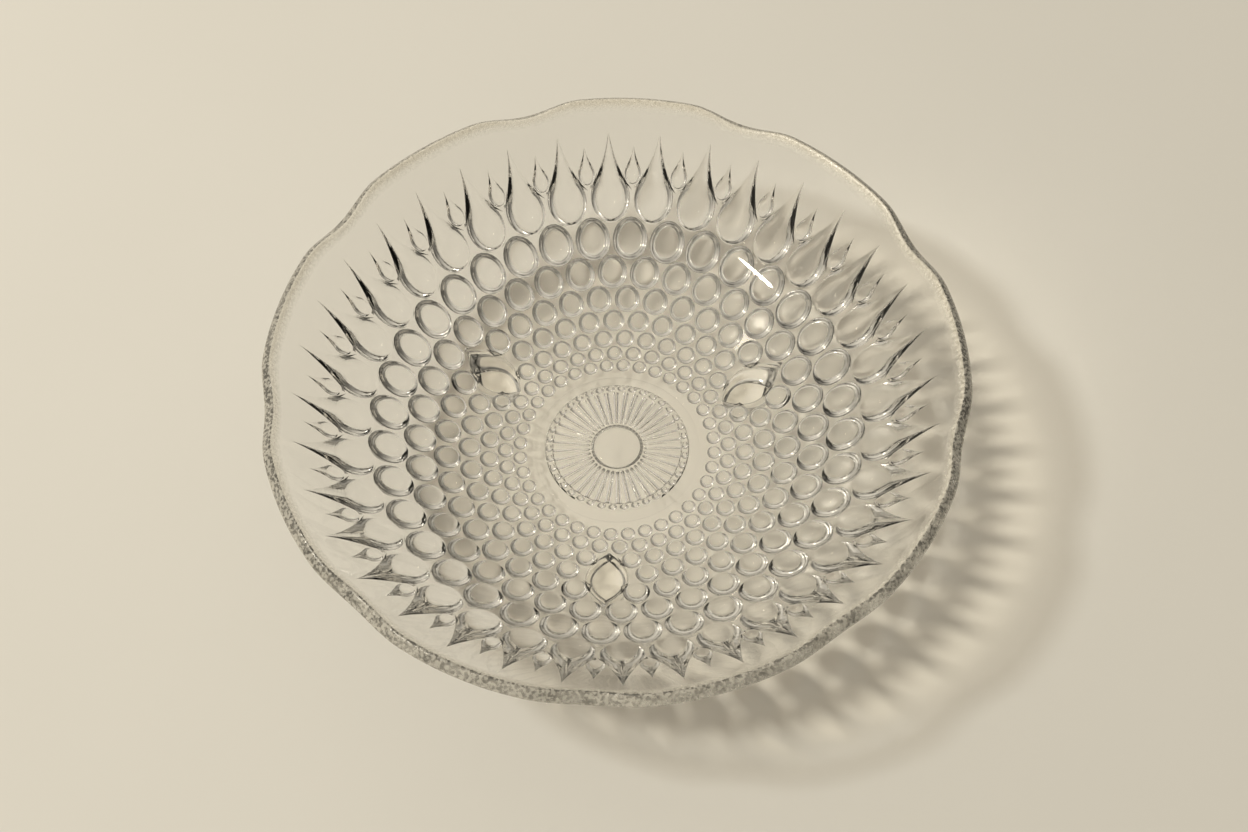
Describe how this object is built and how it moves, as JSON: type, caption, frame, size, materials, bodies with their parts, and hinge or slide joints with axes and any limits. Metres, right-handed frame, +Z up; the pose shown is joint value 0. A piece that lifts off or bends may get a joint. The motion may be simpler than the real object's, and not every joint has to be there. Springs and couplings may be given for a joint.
{
  "type": "pressed glass footed bowl",
  "caption": "Clear pressed-glass serving bowl on small feet, with a scalloped rim, teardrop band, hobnail wall and fluted base medallion.",
  "frame": {"origin": "on the bowl's axis, in the plane that the three soles stand on", "axes": "+Z up along the bowl's axis; one foot points along -Y, and the bowl is mirror-symmetric about the YZ plane"},
  "size_m": [0.2104, 0.2092, 0.0584],
  "materials": {
    "clear_glass": "clear, colourless, fire-polished inside and at the lip, mould-pressed outside"
  },
  "bodies": {
    "root": {"base_medallion": "clear_glass", "hobnail_wall": "clear_glass", "teardrop_band": "clear_glass", "rim": "clear_glass", "foot_front": "clear_glass", "foot_left": "clear_glass", "foot_right": "clear_glass"}
  },
  "joints": []
}
